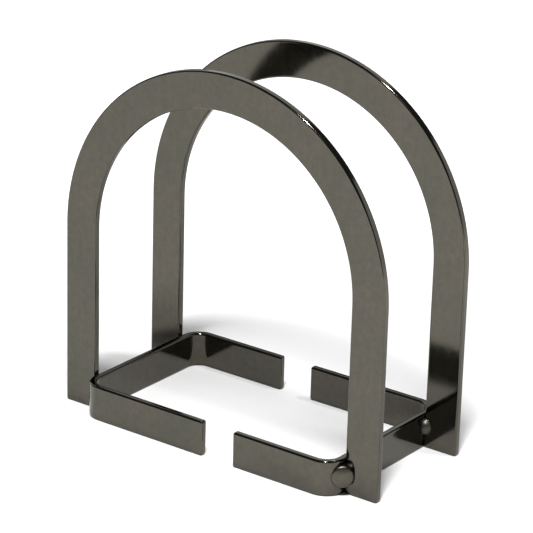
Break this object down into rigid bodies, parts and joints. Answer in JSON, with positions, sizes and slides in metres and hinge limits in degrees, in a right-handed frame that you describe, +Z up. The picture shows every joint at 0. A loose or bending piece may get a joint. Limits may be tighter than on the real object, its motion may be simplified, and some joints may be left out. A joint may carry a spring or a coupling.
{
  "type": "napkin holder",
  "caption": "Free-standing napkin holder: flat inverted-U arch plates front and back, welded to base brackets bent from flat strip, all in polished dark plating.",
  "frame": {"origin": "on the floor, in the middle of the slot between the two arches", "axes": "+X to the right along the arches, +Y from the front arch to the back arch, +Z up"},
  "size_m": [0.15, 0.0734, 0.15],
  "materials": {
    "plating": "polished black nickel plating over steel",
    "weld": "smooth plated weld bead"
  },
  "bodies": {
    "root": {"front_arch": "plating", "back_arch": "plating", "left_base_bracket": "plating", "right_base_bracket": "plating", "weld_front_right": "weld", "weld_back_right": "weld", "weld_back_left": "weld", "weld_front_left": "weld"}
  },
  "joints": []
}
